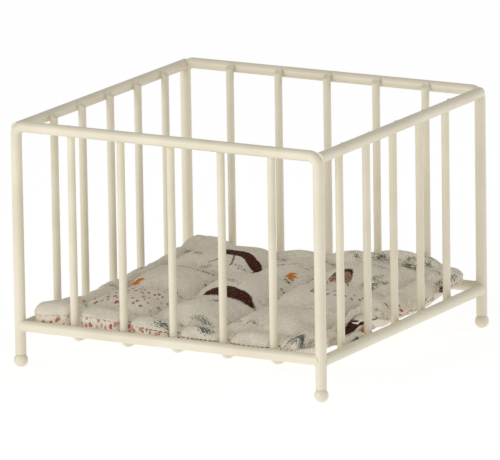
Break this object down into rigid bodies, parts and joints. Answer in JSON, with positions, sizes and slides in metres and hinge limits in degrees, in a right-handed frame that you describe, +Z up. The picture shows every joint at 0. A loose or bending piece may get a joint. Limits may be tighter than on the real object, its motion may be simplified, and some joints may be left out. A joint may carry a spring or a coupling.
{
  "type": "toy playpen",
  "caption": "Miniature square playpen welded from painted wire on ball feet, with a loose quilted mattress lying on its floor wires.",
  "frame": {"origin": "on the standing plane, at the centre of the rectangle of the four ball feet", "axes": "+Z up, front towards -Y, +X to the right seen from the front"},
  "size_m": [0.111, 0.112, 0.0786],
  "materials": {
    "frame_paint": "semi-gloss cream powder coat",
    "printed_fabric": "plain-woven natural linen with a small multicoloured print",
    "wadding": "loose polyester wadding"
  },
  "bodies": {
    "frame": {"front_frame": "frame_paint", "back_frame": "frame_paint", "front_low_rail": "frame_paint", "back_low_rail": "frame_paint", "left_top_rail": "frame_paint", "right_top_rail": "frame_paint", "left_low_rail": "frame_paint", "right_low_rail": "frame_paint", "floor_wire_1": "frame_paint", "floor_wire_2": "frame_paint", "floor_wire_3": "frame_paint", "floor_wire_4": "frame_paint", "floor_wire_5": "frame_paint", "left_bar_1": "frame_paint", "left_bar_2": "frame_paint", "left_bar_3": "frame_paint", "left_bar_4": "frame_paint", "left_bar_5": "frame_paint", "right_bar_1": "frame_paint", "right_bar_2": "frame_paint", "right_bar_3": "frame_paint", "right_bar_4": "frame_paint", "right_bar_5": "frame_paint", "front_left_foot": "frame_paint", "front_right_foot": "frame_paint", "back_left_foot": "frame_paint", "back_right_foot": "frame_paint"},
    "mattress": {"mattress_top_panel": "printed_fabric", "mattress_bottom_panel": "printed_fabric", "mattress_filling": "wadding"}
  },
  "joints": [
    {"name": "mattress_lift", "type": "slide", "parent": "frame", "child": "mattress", "axis": [0, 0, 1], "range_m": [0, 0.075]}
  ]
}
